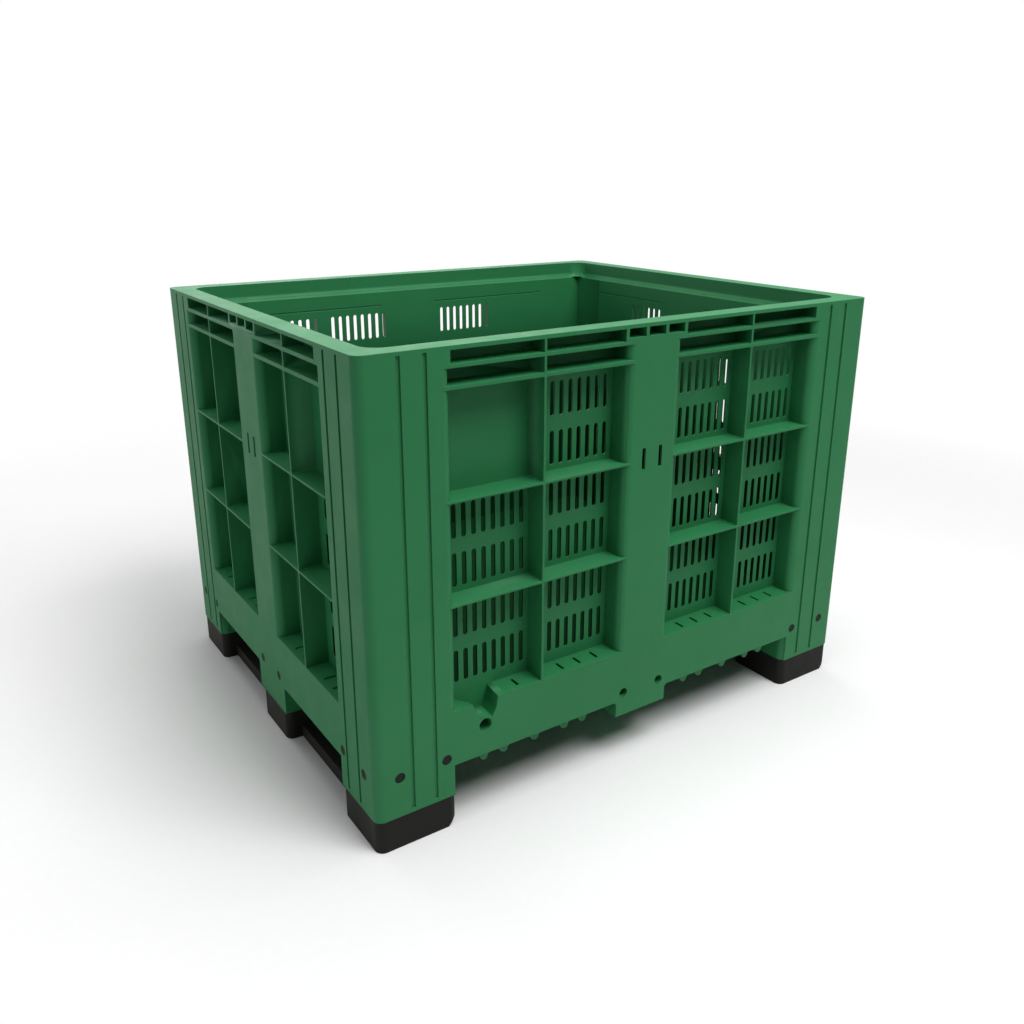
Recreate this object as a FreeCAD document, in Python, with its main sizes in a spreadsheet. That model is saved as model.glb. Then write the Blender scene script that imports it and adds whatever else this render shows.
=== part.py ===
"""Ventilated pallet bin for fruit: one moulded body on two clip-on runners.

Row frame: +Z up, origin on the ground under the middle of the bin. X runs along the long
side, the long wall with the drain faces -Y. Every side is drawn in the place of the front
side, with its outer plane at y = -reach, and is then turned about Z to its own place.
"""
import FreeCAD
import Part
import Sketcher
import os

ACROSS = FreeCAD.Vector(1, 0, 0)
ALONG = FreeCAD.Vector(0, 1, 0)
UPWARD = FreeCAD.Vector(0, 0, 1)
NEAR = 0.01

SIZES = {
    # overall
    "bin_length": 1200,
    "bin_width": 1000,
    "bin_height": 890,
    "corner_radius": 18,
    # mouldings
    "wall_thickness": 5,
    "skin_thickness": 3.5,
    "wall_depth": 47,
    "edge_radius": 16,
    # levels above the ground
    "runner_height": 65,
    "stub_bottom": 93,
    "apron_bottom": 127,
    "hole_level": 144,
    "floor_top": 175,
    "sill_top": 239,
    "ledge_level": 438,
    "tier_pitch": 189,
    # plates and ribs
    "floor_thickness": 6,
    "sill_thickness": 4.5,
    "ledge_thickness": 4,
    "cell_rib": 4.5,
    # rim
    "rim_width": 45,
    "rim_rail_height": 36.5,
    "rim_flange": 7,
    "rim_skirt": 29,
    "rim_step_rise": 6,
    "rim_web": 5,
    "rim_rib_drop": 28,
    "rim_rib": 7,
    "rim_inner_radius": 36,
    # corner and centre posts
    "corner_long": 165,
    "corner_short": 151,
    "post_long": 130,
    "post_short": 134,
    "post_top_band": 12.5,
    "post_slot_width": 8.5,
    "post_slot_height": 42,
    "post_slot_level": 613,
    "post_slot_spacing_long": 41,
    "post_slot_spacing_short": 34,
    "port_width": 40,
    "port_rib": 7,
    # grooves of the corner posts
    "groove_width": 7,
    "groove_depth": 2.5,
    "groove_low": 73,
    "groove_gap": 7,
    "groove_long": 72.5,
    "groove_short": 65,
    "groove_pitch_long": 46.5,
    "groove_pitch_short": 49,
    # ventilation slots
    "slot_width": 12,
    "slot_height": 64,
    "slot_pitch": 27,
    "slot_level": 263.5,
    "slot_row_pitch": 91,
    "slot_shift_long": 6,
    "slot_shift_short": 10,
    "slots_long": 6,
    "slots_short": 4,
    # drip slots of the sill
    "drip_width": 6,
    "drip_length": 25,
    "drip_inset": 12,
    "drip_pitch": 41,
    "drips_long": 3,
    "drips_short": 2,
    # feet
    "foot_long": 158,
    "foot_short": 143,
    "foot_middle": 146,
    "socket_depth": 18,
    "hole_radius": 10,
    "hole_first_long": 48,
    "hole_first_short": 45,
    "hole_spacing": 94,
    "hole_spacing_short": 88,
    # under-floor ribs
    "rib_level": 103,
    "rib_width": 22,
    "rib_chamfer": 7,
    "rib_near": 71,
    "rib_far": 116,
    "rib_near_short": 50,
    "rib_far_short": 100,
    # drain
    "drain_offset": 376,
    "drain_level": 188,
    "drain_radius": 13,
    "drain_wall": 4,
    "scoop_front_left": 32,
    "scoop_front_right": 24,
    "scoop_rear_right": 36,
    "scoop_margin": 8,
    "scoop_floor": 197,
    # runners
    "pad_inset": 2,
    "pad_chamfer": 15,
    "pad_chamfer_rise": 20,
    "bar_height": 28,
    "bar_inset": 33,
    "bar_width": 92,
    "spigot_top": 157,
    "spigot_wall": 5,
    "spigot_clearance": 0.4,
    "lug_size": 9,
    "lug_depth": 1.5,
}

LONG = {
    "half": "Sizes.bin_length / 2",
    "reach": "Sizes.bin_width / 2",
    "corner": "Sizes.corner_long",
    "post": "Sizes.post_long / 2",
    "post_slot_spacing": "Sizes.post_slot_spacing_long",
    "slots": "Sizes.slots_long",
    "drips": "Sizes.drips_long",
    "foot_width": "Sizes.post_long",
    "foot_depth": "Sizes.foot_short",
    "foot_bottom": "Sizes.stub_bottom",
}
SHORT = {
    "half": "Sizes.bin_width / 2",
    "reach": "Sizes.bin_length / 2",
    "corner": "Sizes.corner_short",
    "post": "Sizes.post_short / 2",
    "post_slot_spacing": "Sizes.post_slot_spacing_short",
    "slots": "Sizes.slots_short",
    "drips": "Sizes.drips_short",
    "foot_width": "Sizes.foot_middle",
    "foot_depth": "Sizes.foot_long",
    "foot_bottom": "Sizes.runner_height",
}
SIDES = {
    "front": dict(LONG, turn=0, shift="Sizes.slot_shift_long", blank="left"),
    "back": dict(LONG, turn=180, shift="-Sizes.slot_shift_long", blank="left"),
    "left": dict(SHORT, turn=-90, shift="Sizes.slot_shift_short", blank="right"),
    "right": dict(SHORT, turn=90, shift="Sizes.slot_shift_short", blank="right"),
}

RAIL_BOTTOM = "(Sizes.bin_height - Sizes.rim_rail_height)"
FLOOR_UNDER = "(Sizes.floor_top - Sizes.floor_thickness)"
SKIN_INNER = "(Sizes.wall_depth + Sizes.skin_thickness)"
BAY_LEFT = "(Sizes.corner_long - Sizes.bin_length / 2)"
BAY_RIGHT = "(Sizes.scoop_rear_right + Sizes.scoop_margin - Sizes.drain_offset)"

doc = FreeCAD.newDocument("FruitBin")
parts = []


def fill_sheet():
    """Driving dimensions, one row each: name in column A, value with its alias in column B."""
    sheet = doc.addObject("Spreadsheet::Sheet", "Sizes")
    for row, (name, value) in enumerate(SIZES.items(), start=1):
        sheet.set(f"A{row}", name)
        sheet.set(f"B{row}", str(value))
        sheet.setAlias(f"B{row}", name)
    doc.recompute()
    return sheet


def value_of(expression):
    """Number that an expression of the sheet gives now."""
    result = sheet.evalExpression(expression)
    return float(getattr(result, "Value", result))


def new_body(label, turn=0):
    """Empty body for one sub-part, turned about Z from the front side to its own side."""
    body = doc.addObject("PartDesign::Body", label)
    body.Label = label
    body.Placement = FreeCAD.Placement(FreeCAD.Vector(), FreeCAD.Rotation(UPWARD, turn))
    parts.append(body)
    return body


def new_sketch(body, name, plane, offset):
    """Sketch on an origin plane of its own body, moved along the plane's normal by offset."""
    sketch = body.newObject("Sketcher::SketchObject", f"{body.Name}_{name}")
    role = f"{plane}_Plane"
    support = [item for item in body.Origin.OriginFeatures if item.Role == role][0]
    sketch.AttachmentSupport = (support, [""])
    sketch.MapMode = "FlatFace"
    sketch.setExpression("AttachmentOffset.Base.z", offset)
    return sketch


def pin_point(sketch, line, end, across, up):
    """Hold one end of a line at a place given by two expressions."""
    for kind, expression in (("DistanceX", across), ("DistanceY", up)):
        constraint = Sketcher.Constraint(kind, -1, 1, line, end, value_of(expression))
        index = sketch.addConstraint(constraint)
        sketch.setExpression(f"Constraints[{index}]", expression)


def draw_polygon(sketch, corners):
    """Closed outline through corners, each held at its two expressions."""
    points = [FreeCAD.Vector(value_of(across), value_of(up), 0) for across, up in corners]
    count = len(points)
    lines = [
        sketch.addGeometry(Part.LineSegment(points[i], points[(i + 1) % count]), False)
        for i in range(count)
    ]
    for i, line in enumerate(lines):
        following = lines[(i + 1) % count]
        sketch.addConstraint(Sketcher.Constraint("Coincident", line, 2, following, 1))
    for line, (across, up) in zip(lines, corners):
        pin_point(sketch, line, 1, across, up)


def draw_rectangle(sketch, left, right, low, high):
    """Rectangle between four expressions."""
    draw_polygon(sketch, [(left, low), (right, low), (right, high), (left, high)])


def draw_circle(sketch, across, up, radius):
    """Circle with its centre and radius held by expressions."""
    centre = FreeCAD.Vector(value_of(across), value_of(up), 0)
    circle = sketch.addGeometry(Part.Circle(centre, UPWARD, value_of(radius)), False)
    pin_point(sketch, circle, 3, across, up)
    index = sketch.addConstraint(Sketcher.Constraint("Radius", circle, value_of(radius)))
    sketch.setExpression(f"Constraints[{index}]", radius)


def draw_octagon(sketch, across, up, reach):
    """Regular octagon whose flats lie at reach from its middle."""
    tip = f"({reach} / cos(22.5))"
    angles = [22.5 + 45 * step for step in range(8)]
    draw_polygon(sketch, [
        (f"{across} + {tip} * cos({angle})", f"{up} + {tip} * sin({angle})") for angle in angles
    ])


def pad(body, sketch, name, length, reverse=False, middle=False):
    """Pad a sketch by an expression, along its normal unless reversed."""
    feature = body.newObject("PartDesign::Pad", f"{body.Name}_{name}")
    feature.Profile = sketch
    feature.setExpression("Length", length)
    feature.Reversed = reverse
    feature.Midplane = middle
    sketch.Visibility = False
    return feature


def pocket(body, sketch, name, length, reverse=False):
    """Pocket a sketch by an expression, and stop where it takes nothing away."""
    doc.recompute()
    before = body.Shape.Volume
    feature = body.newObject("PartDesign::Pocket", f"{body.Name}_{name}")
    feature.Profile = sketch
    feature.setExpression("Length", length)
    feature.Reversed = reverse
    sketch.Visibility = False
    doc.recompute()
    if not body.Shape.Volume < before - NEAR:
        raise RuntimeError(f"{feature.Name} cuts nothing")
    return feature


def repeat(body, feature, name, runs):
    """Repeat a feature along its sketch's axes. Each run is (axis, count, pitch)."""
    multi = body.newObject("PartDesign::MultiTransform", f"{body.Name}_{name}")
    multi.Originals = [feature]
    patterns = []
    for axis, count, pitch in runs:
        pattern = body.newObject("PartDesign::LinearPattern", f"{multi.Name}_run")
        pattern.Direction = (feature.Profile[0], [axis])
        pattern.setExpression("Length", f"({count} - 1) * ({pitch})")
        pattern.setExpression("Occurrences", count)
        patterns.append(pattern)
    multi.Transformations = patterns
    body.Tip = multi
    doc.recompute()
    return multi


def upright_edges(feature, places):
    """Names of the vertical edges that stand at the given places."""
    names = []
    for number, edge in enumerate(feature.Shape.Edges, start=1):
        box = edge.BoundBox
        if box.XLength > NEAR or box.YLength > NEAR:
            continue
        for across, along in places:
            offset = abs(box.XMin - value_of(across)) + abs(box.YMin - value_of(along))
            if offset < NEAR:
                names.append(f"Edge{number}")
    return names


def round_uprights(body, name, places, radius):
    """Fillet the vertical edges at the given places."""
    doc.recompute()
    base = body.Tip
    edges = upright_edges(base, places)
    if not edges:
        raise RuntimeError(f"{body.Name}_{name} finds no edge")
    fillet = body.newObject("PartDesign::Fillet", f"{body.Name}_{name}")
    fillet.Base = (base, edges)
    fillet.setExpression("Radius", radius)
    doc.recompute()
    return fillet


def cell_width(side):
    """Width of one window cell: two cells and one rib fill a panel."""
    return f"(({side['half']} - {side['corner']} - {side['post']} - Sizes.cell_rib) / 2)"


def panel_edge(side):
    """Distance from the middle of a side to the corner post."""
    return f"({side['half']} - {side['corner']})"


def make_wall(key):
    """Perforated skin with the lattice of ledges and ribs that stands in front of it."""
    side = SIDES[key]
    edge = panel_edge(side)
    cell = cell_width(side)
    cell_pitch = f"({cell} + Sizes.cell_rib)"
    panel_pitch = f"({edge} + {side['post']})"
    reach = side["reach"]
    body = new_body(f"{key}_wall", side["turn"])

    skin = new_sketch(body, "skin_outline", "XZ", f"{reach} - Sizes.wall_depth")
    draw_rectangle(skin, f"-{edge}", edge, FLOOR_UNDER, RAIL_BOTTOM)
    pad(body, skin, "skin", "Sizes.skin_thickness", reverse=True)
    lattice = new_sketch(body, "lattice_outline", "XZ", reach)
    draw_rectangle(lattice, f"-{edge}", edge, "Sizes.sill_top", RAIL_BOTTOM)
    pad(body, lattice, "lattice", "Sizes.wall_depth", reverse=True)

    windows = new_sketch(body, "window_outlines", "XZ", reach)
    ledge = "Sizes.ledge_level"
    upper_ledge = "(Sizes.ledge_level + Sizes.tier_pitch)"
    rim_rib_top = f"({RAIL_BOTTOM} - Sizes.rim_rib_drop)"
    bands = [
        ("Sizes.sill_top", ledge),
        (f"({ledge} + Sizes.ledge_thickness)", upper_ledge),
        (f"({upper_ledge} + Sizes.ledge_thickness)", f"({rim_rib_top} - Sizes.rim_rib)"),
        (rim_rib_top, RAIL_BOTTOM),
    ]
    for low, high in bands:
        draw_rectangle(windows, f"-{edge}", f"-{edge} + {cell}", low, high)
    opened = pocket(body, windows, "windows", "Sizes.wall_depth")
    repeat(body, opened, "window_cells", [("H_Axis", "2", cell_pitch), ("H_Axis", "2", panel_pitch)])

    bay = new_sketch(body, "post_bay_outline", "XZ", reach)
    draw_rectangle(bay, f"-{side['post']}", side["post"], "Sizes.sill_top", RAIL_BOTTOM)
    pocket(body, bay, "post_bay", "Sizes.wall_depth")

    row = f"(({side['slots']} - 1) * Sizes.slot_pitch + Sizes.slot_width)"
    first = f"(-{edge} + ({cell} - {row}) / 2 + {side['shift']})"
    along = ("H_Axis", side["slots"], "Sizes.slot_pitch")
    pair = ("V_Axis", "2", "Sizes.slot_row_pitch")
    cells = ("H_Axis", "2", cell_pitch)
    top = "(Sizes.slot_level + 2 * Sizes.tier_pitch)"
    if side["blank"] == "left":
        full_panel = f"({first} + {panel_pitch})"
        lone_cell = f"({first} + {cell_pitch})"
    else:
        full_panel = first
        lone_cell = f"({first} + {panel_pitch})"
    fields = {
        "lower_slots": (
            first,
            "Sizes.slot_level",
            [along, pair, ("V_Axis", "2", "Sizes.tier_pitch"), cells, ("H_Axis", "2", panel_pitch)],
        ),
        "panel_slots": (full_panel, top, [along, pair, cells]),
        "cell_slots": (lone_cell, top, [along, pair]),
    }
    for name, (start, level, runs) in fields.items():
        outline = new_sketch(body, f"{name}_outline", "XZ", f"{reach} - Sizes.wall_depth")
        draw_rectangle(
            outline, start, f"{start} + Sizes.slot_width", level, f"{level} + Sizes.slot_height"
        )
        slot = pocket(body, outline, name, "Sizes.skin_thickness")
        repeat(body, slot, f"{name}_field", runs)
    return body


def make_centre_post(key):
    """Channel-shaped post in the middle of a side, with two short slots in its face."""
    side = SIDES[key]
    post = side["post"]
    face = f"-{side['reach']}"
    rear = f"({face} + Sizes.wall_depth)"
    inner = f"({post} - Sizes.wall_thickness)"
    floor = f"({face} + Sizes.wall_thickness)"
    body = new_body(f"{key}_centre_post", side["turn"])
    section = new_sketch(body, "section", "XY", "Sizes.sill_top")
    outline = [(f"-{post}", face), (post, face), (post, rear), (inner, rear)]
    hollow = [(inner, floor), (f"-{inner}", floor), (f"-{inner}", rear), (f"-{post}", rear)]
    draw_polygon(section, outline + hollow)
    pad(body, section, "channel", f"{RAIL_BOTTOM} - Sizes.sill_top")
    round_uprights(body, "outer_edges", [(post, face), (f"-{post}", face)], "Sizes.edge_radius")

    slot = new_sketch(body, "slot_outline", "XZ", side["reach"])
    left = f"(-{side['post_slot_spacing']} / 2 - Sizes.post_slot_width / 2)"
    low = "Sizes.post_slot_level"
    high = "Sizes.post_slot_level + Sizes.post_slot_height"
    draw_rectangle(slot, left, f"{left} + Sizes.post_slot_width", low, high)
    first = pocket(body, slot, "slot", "Sizes.wall_thickness")
    repeat(body, first, "slots", [("H_Axis", "2", side["post_slot_spacing"])])


def make_rim_rail(key):
    """Rim between two corner posts: open channel outside, sloped stacking step inside."""
    side = SIDES[key]
    face = f"-{side['reach']}"
    edge = panel_edge(side)
    cell = cell_width(side)
    top = "Sizes.bin_height"
    web = f"({face} + Sizes.rim_width)"
    skin = f"({face} + {SKIN_INNER})"
    step_top = "(Sizes.bin_height - Sizes.rim_skirt)"
    body = new_body(f"{key}_rim_rail", side["turn"])
    section = new_sketch(body, "section", "YZ", "0")
    draw_polygon(section, [
        (face, RAIL_BOTTOM),
        (skin, RAIL_BOTTOM),
        (skin, f"{step_top} - Sizes.rim_step_rise"),
        (web, step_top),
        (web, top),
        (face, top),
    ])
    pad(body, section, "rail", f"2 * {edge}", middle=True)

    ports = new_sketch(body, "port_outlines", "XZ", side["reach"])
    high = f"({top} - Sizes.rim_flange)"
    low = f"({RAIL_BOTTOM} + Sizes.rim_flange)"
    group = "(1.5 * Sizes.port_width + Sizes.port_rib)"
    large = f"({group} + Sizes.port_rib)"
    draw_rectangle(ports, f"-{edge}", f"-{edge} + {cell}", low, high)
    draw_rectangle(ports, f"-{edge} + {cell} + Sizes.cell_rib", f"-{large}", low, high)
    draw_rectangle(ports, large, f"{edge} - {cell} - Sizes.cell_rib", low, high)
    draw_rectangle(ports, f"{edge} - {cell}", edge, low, high)
    sill = f"({RAIL_BOTTOM} + Sizes.post_top_band)"
    for step in range(3):
        left = f"(-{group} + {step} * (Sizes.port_width + Sizes.port_rib))"
        draw_rectangle(ports, left, f"{left} + Sizes.port_width", sill, high)
    pocket(body, ports, "ports", "Sizes.rim_width - Sizes.rim_web")


def make_apron(key):
    """Band under the windows, with the sill on top and the drip slots in it."""
    side = SIDES[key]
    face = f"-{side['reach']}"
    edge = panel_edge(side)
    cell = cell_width(side)
    plate = f"({face} + Sizes.wall_thickness)"
    rear = f"({face} + Sizes.wall_depth)"
    sill_low = "(Sizes.sill_top - Sizes.sill_thickness)"
    body = new_body(f"{key}_apron", side["turn"])
    section = new_sketch(body, "section", "YZ", "0")
    draw_polygon(section, [
        (face, "Sizes.apron_bottom"),
        (plate, "Sizes.apron_bottom"),
        (plate, sill_low),
        (rear, sill_low),
        (rear, "Sizes.sill_top"),
        (face, "Sizes.sill_top"),
    ])
    pad(body, section, "band", f"2 * {edge}", middle=True)

    row = f"(({side['drips']} - 1) * Sizes.drip_pitch + Sizes.drip_width)"
    left = f"(-{edge} + ({cell} - {row}) / 2 + {side['shift']})"
    near = f"({face} + Sizes.drip_inset)"
    slot = new_sketch(body, "drip_outline", "XY", "Sizes.sill_top")
    draw_rectangle(slot, left, f"{left} + Sizes.drip_width", near, f"{near} + Sizes.drip_length")
    first = pocket(body, slot, "drip", "Sizes.sill_thickness")
    repeat(body, first, "drips", [
        ("H_Axis", side["drips"], "Sizes.drip_pitch"),
        ("H_Axis", "2", f"{cell} + Sizes.cell_rib"),
        ("H_Axis", "2", f"{edge} + {side['post']}"),
    ])
    holes = new_sketch(body, "foot_hole_outlines", "XZ", side["reach"])
    for sign in ("-", ""):
        place = f"{sign}Sizes.hole_spacing / 2"
        draw_octagon(holes, place, "Sizes.hole_level", "Sizes.hole_radius")
    pocket(body, holes, "foot_holes", "Sizes.wall_thickness")
    if key == "front":
        cut_drain_bay(body)


def cut_drain_bay(body):
    """Opening in the front apron that the drain boss fills."""
    face = "-Sizes.bin_width / 2"
    bay = new_sketch(body, "drain_bay_outline", "XY", "Sizes.sill_top")
    draw_rectangle(bay, BAY_LEFT, BAY_RIGHT, face, f"{face} + Sizes.wall_depth")
    pocket(body, bay, "drain_bay", f"Sizes.sill_top - {FLOOR_UNDER}")


def make_drain_boss():
    """Drain outlet in the front sill: an open scoop over a hooded outlet pipe."""
    face = "-Sizes.bin_width / 2"
    middle = "-Sizes.drain_offset"
    rear = f"({face} + Sizes.wall_depth)"
    body = new_body("drain_boss")
    block = new_sketch(body, "block_outline", "XY", FLOOR_UNDER)
    draw_rectangle(block, BAY_LEFT, BAY_RIGHT, face, rear)
    pad(body, block, "block", f"Sizes.sill_top - {FLOOR_UNDER}")
    scoop = new_sketch(body, "scoop_outline", "XY", "Sizes.sill_top")
    draw_polygon(scoop, [
        (f"{middle} - Sizes.scoop_front_left", face),
        (f"{middle} + Sizes.scoop_front_right", face),
        (f"{middle} + Sizes.scoop_rear_right", rear),
        (BAY_LEFT, rear),
    ])
    pocket(body, scoop, "scoop", "Sizes.sill_top - Sizes.scoop_floor")
    hood = new_sketch(body, "hood_outline", "XZ", "Sizes.bin_width / 2")
    draw_circle(hood, middle, "Sizes.drain_level", "Sizes.drain_radius + Sizes.drain_wall")
    pad(body, hood, "hood", "Sizes.wall_depth", reverse=True)
    bore = new_sketch(body, "bore_outline", "XZ", "Sizes.bin_width / 2")
    draw_circle(bore, middle, "Sizes.drain_level", "Sizes.drain_radius")
    pocket(body, bore, "bore", "Sizes.wall_depth")


def cut_drain_hole(body):
    """Mouth of the drain through the front wall's skin."""
    mouth = new_sketch(body, "drain_outline", "XZ", "Sizes.bin_width / 2 - Sizes.wall_depth")
    draw_circle(mouth, "-Sizes.drain_offset", "Sizes.drain_level", "Sizes.drain_radius")
    pocket(body, mouth, "drain_mouth", "Sizes.skin_thickness")


def make_foot(key):
    """Foot under the middle of a side, behind the apron. A foot over a runner is hollow."""
    side = SIDES[key]
    face = f"-{side['reach']}"
    plate = f"({face} + Sizes.wall_thickness)"
    rear = f"({face} + {side['foot_depth']})"
    bottom = side["foot_bottom"]
    half = f"({side['foot_width']} / 2)"
    body = new_body(f"{key}_foot", side["turn"])
    section = new_sketch(body, "section", "YZ", "0")
    draw_polygon(section, [
        (face, bottom),
        (rear, bottom),
        (rear, FLOOR_UNDER),
        (plate, FLOOR_UNDER),
        (plate, "Sizes.apron_bottom"),
        (face, "Sizes.apron_bottom"),
    ])
    pad(body, section, "block", side["foot_width"], middle=True)
    if key in ("left", "right"):
        hollow = new_sketch(body, "hollow_outline", "XY", bottom)
        inner = f"({half} - Sizes.wall_thickness)"
        draw_rectangle(hollow, f"-{inner}", inner, plate, f"{rear} - Sizes.wall_thickness")
        depth = f"{FLOOR_UNDER} - Sizes.wall_thickness - {bottom}"
        pocket(body, hollow, "hollow", depth, reverse=True)
    else:
        doc.recompute()
        sockets = new_sketch(body, "socket_outlines", "XZ", side["reach"])
        for sign in ("-", ""):
            place = f"{sign}Sizes.hole_spacing / 2"
            draw_octagon(sockets, place, "Sizes.hole_level", "Sizes.hole_radius")
        pocket(body, sockets, "sockets", "Sizes.socket_depth")


def make_centre_foot():
    """Stub under the middle of the floor."""
    body = new_body("centre_foot")
    outline = new_sketch(body, "outline", "XY", "Sizes.stub_bottom")
    across = "(Sizes.post_long / 2)"
    along = "(Sizes.foot_middle / 2)"
    draw_rectangle(outline, f"-{across}", across, f"-{along}", along)
    pad(body, outline, "block", f"{FLOOR_UNDER} - Sizes.stub_bottom")


def angle_outline(depth):
    """L-shaped plan of a corner post, both legs as deep as given."""
    left = "(-Sizes.bin_length / 2)"
    front = "(-Sizes.bin_width / 2)"
    return [
        (left, front),
        (f"{left} + Sizes.corner_long", front),
        (f"{left} + Sizes.corner_long", f"{front} + {depth}"),
        (f"{left} + {depth}", f"{front} + {depth}"),
        (f"{left} + {depth}", f"{front} + Sizes.corner_short"),
        (left, f"{front} + Sizes.corner_short"),
    ]


def make_corner_post():
    """Hollow front left corner column, running down into its foot."""
    left = "(-Sizes.bin_length / 2)"
    front = "(-Sizes.bin_width / 2)"
    wall = "Sizes.wall_thickness"
    step_top = "(Sizes.bin_height - Sizes.rim_skirt)"
    body = new_body("front_left_corner_post")

    foot = new_sketch(body, "foot_outline", "XY", "Sizes.runner_height")
    foot_right = f"({left} + Sizes.foot_long)"
    foot_rear = f"({front} + Sizes.foot_short)"
    draw_rectangle(foot, left, foot_right, front, foot_rear)
    pad(body, foot, "foot", f"{FLOOR_UNDER} - Sizes.runner_height")
    column = new_sketch(body, "column_outline", "XY", "Sizes.apron_bottom")
    draw_polygon(column, angle_outline(SKIN_INNER))
    pad(body, column, "column", f"{step_top} - Sizes.rim_step_rise - Sizes.apron_bottom")
    rim = new_sketch(body, "rim_outline", "XY", f"{step_top} - Sizes.rim_step_rise")
    draw_polygon(rim, angle_outline("Sizes.rim_width"))
    pad(body, rim, "rim", "Sizes.rim_skirt + Sizes.rim_step_rise")
    inner = (f"({left} + Sizes.rim_width)", f"({front} + Sizes.rim_width)")
    beside = (f"({inner[0]} + Sizes.rim_inner_radius)", inner[1])
    behind = (inner[0], f"({inner[1]} + Sizes.rim_inner_radius)")
    filling = new_sketch(body, "rim_filling_outline", "XY", step_top)
    draw_hollow_corner(filling, beside, inner, behind)
    pad(body, filling, "rim_filling", "Sizes.rim_skirt")
    round_uprights(body, "corner", [(left, front)], "Sizes.corner_radius")

    neck = f"({step_top} - Sizes.rim_step_rise - {wall})"
    hollow_top = "(Sizes.bin_height - Sizes.rim_flange)"
    hollows = {
        "column_hollow": ("Sizes.runner_height", neck, "Sizes.wall_depth"),
        "rim_hollow": (neck, hollow_top, "(Sizes.rim_width - Sizes.rim_web)"),
    }
    for name, (low, high, depth) in hollows.items():
        hollow = new_sketch(body, f"{name}_outline", "XY", low)
        draw_polygon(hollow, [
            (f"{left} + {wall}", f"{front} + Sizes.corner_radius"),
            (f"{left} + Sizes.corner_radius", f"{front} + {wall}"),
            (f"{left} + Sizes.foot_long - {wall}", f"{front} + {wall}"),
            (f"{left} + Sizes.foot_long - {wall}", f"{front} + {depth}"),
            (f"{left} + {depth}", f"{front} + {depth}"),
            (f"{left} + {depth}", f"{front} + Sizes.foot_short - {wall}"),
            (f"{left} + {wall}", f"{front} + Sizes.foot_short - {wall}"),
        ])
        pocket(body, hollow, name, f"{high} - {low}", reverse=True)
    hollow_foot = new_sketch(body, "foot_hollow_outline", "XY", "Sizes.runner_height")
    draw_polygon(hollow_foot, [
        (f"{left} + {wall}", f"{front} + Sizes.corner_radius"),
        (f"{left} + Sizes.corner_radius", f"{front} + {wall}"),
        (f"{foot_right} - {wall}", f"{front} + {wall}"),
        (f"{foot_right} - {wall}", f"{foot_rear} - {wall}"),
        (f"{left} + {wall}", f"{foot_rear} - {wall}"),
    ])
    depth = f"{FLOOR_UNDER} - {wall} - Sizes.runner_height"
    pocket(body, hollow_foot, "foot_hollow", depth, reverse=True)

    groove_height = "(Sizes.bin_height - Sizes.groove_gap)"
    faces = {
        "long": ("XZ", "Sizes.bin_width / 2", left, False),
        "short": ("YZ", left, front, True),
    }
    for name, (plane, offset, start, flip) in faces.items():
        groove = new_sketch(body, f"{name}_groove_outlines", plane, offset)
        for step_out in range(2):
            place = f"({start} + Sizes.groove_{name} + {step_out} * Sizes.groove_pitch_{name})"
            near = f"({place} - Sizes.groove_width / 2)"
            draw_rectangle(
                groove, near, f"{near} + Sizes.groove_width", "Sizes.groove_low", groove_height
            )
        pocket(body, groove, f"{name}_grooves", "Sizes.groove_depth", reverse=flip)
        holes = new_sketch(body, f"{name}_hole_outlines", plane, offset)
        spacing = "Sizes.hole_spacing" if name == "long" else "Sizes.hole_spacing_short"
        for step_out in range(2):
            place = f"({start} + Sizes.hole_first_{name} + {step_out} * {spacing})"
            draw_octagon(holes, place, "Sizes.hole_level", "Sizes.hole_radius")
        pocket(body, holes, f"{name}_holes", wall, reverse=flip)
    round_panel_edges(body, left, front)
    return body


def round_panel_edges(body, left, front):
    """Soft edges of the corner column beside the windows."""
    radius = "Sizes.edge_radius"
    for name, along_x in (("long", True), ("short", False)):
        sketch = new_sketch(body, f"{name}_edge_outline", "XY", "Sizes.sill_top")
        if along_x:
            tip = (f"({left} + Sizes.corner_long)", front)
            first = (f"({tip[0]} - {radius})", front)
            last = (tip[0], f"({front} + {radius})")
        else:
            tip = (left, f"({front} + Sizes.corner_short)")
            first = (f"({left} + {radius})", tip[1])
            last = (left, f"({tip[1]} - {radius})")
        draw_hollow_corner(sketch, first, tip, last)
        pocket(body, sketch, f"{name}_edge", f"{RAIL_BOTTOM} - Sizes.sill_top", reverse=True)


def draw_hollow_corner(sketch, first, tip, last):
    """Corner whose long side is a quarter round curving in towards the tip."""
    start, corner, end = [
        FreeCAD.Vector(value_of(x), value_of(y), 0) for x, y in (first, tip, last)
    ]
    centre = start + end - corner
    turn = (start - centre).cross(end - centre).z
    opening, closing = (start, end) if turn > 0 else (end, start)
    circle = Part.Circle(centre, UPWARD, (start - corner).Length)
    span = circle.parameter(opening), circle.parameter(closing)
    lines = [
        sketch.addGeometry(Part.LineSegment(start, corner), False),
        sketch.addGeometry(Part.LineSegment(corner, end), False),
    ]
    arc = sketch.addGeometry(Part.ArcOfCircle(circle, *span), False)
    ends = (1, 2) if turn > 0 else (2, 1)
    sketch.addConstraint(Sketcher.Constraint("Coincident", lines[0], 2, lines[1], 1))
    sketch.addConstraint(Sketcher.Constraint("Coincident", lines[0], 1, arc, ends[0]))
    sketch.addConstraint(Sketcher.Constraint("Tangent", lines[1], 2, arc, ends[1]))
    pin_point(sketch, lines[0], 1, *first)
    pin_point(sketch, lines[0], 2, *tip)
    pin_point(sketch, lines[1], 2, *last)


def mirror(source, label, normal):
    """Mirrored copy through a middle plane of the bin."""
    copy = doc.addObject("Part::Mirroring", label)
    copy.Label = label
    copy.Source = source
    copy.Normal = normal
    doc.recompute()
    return copy


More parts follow.
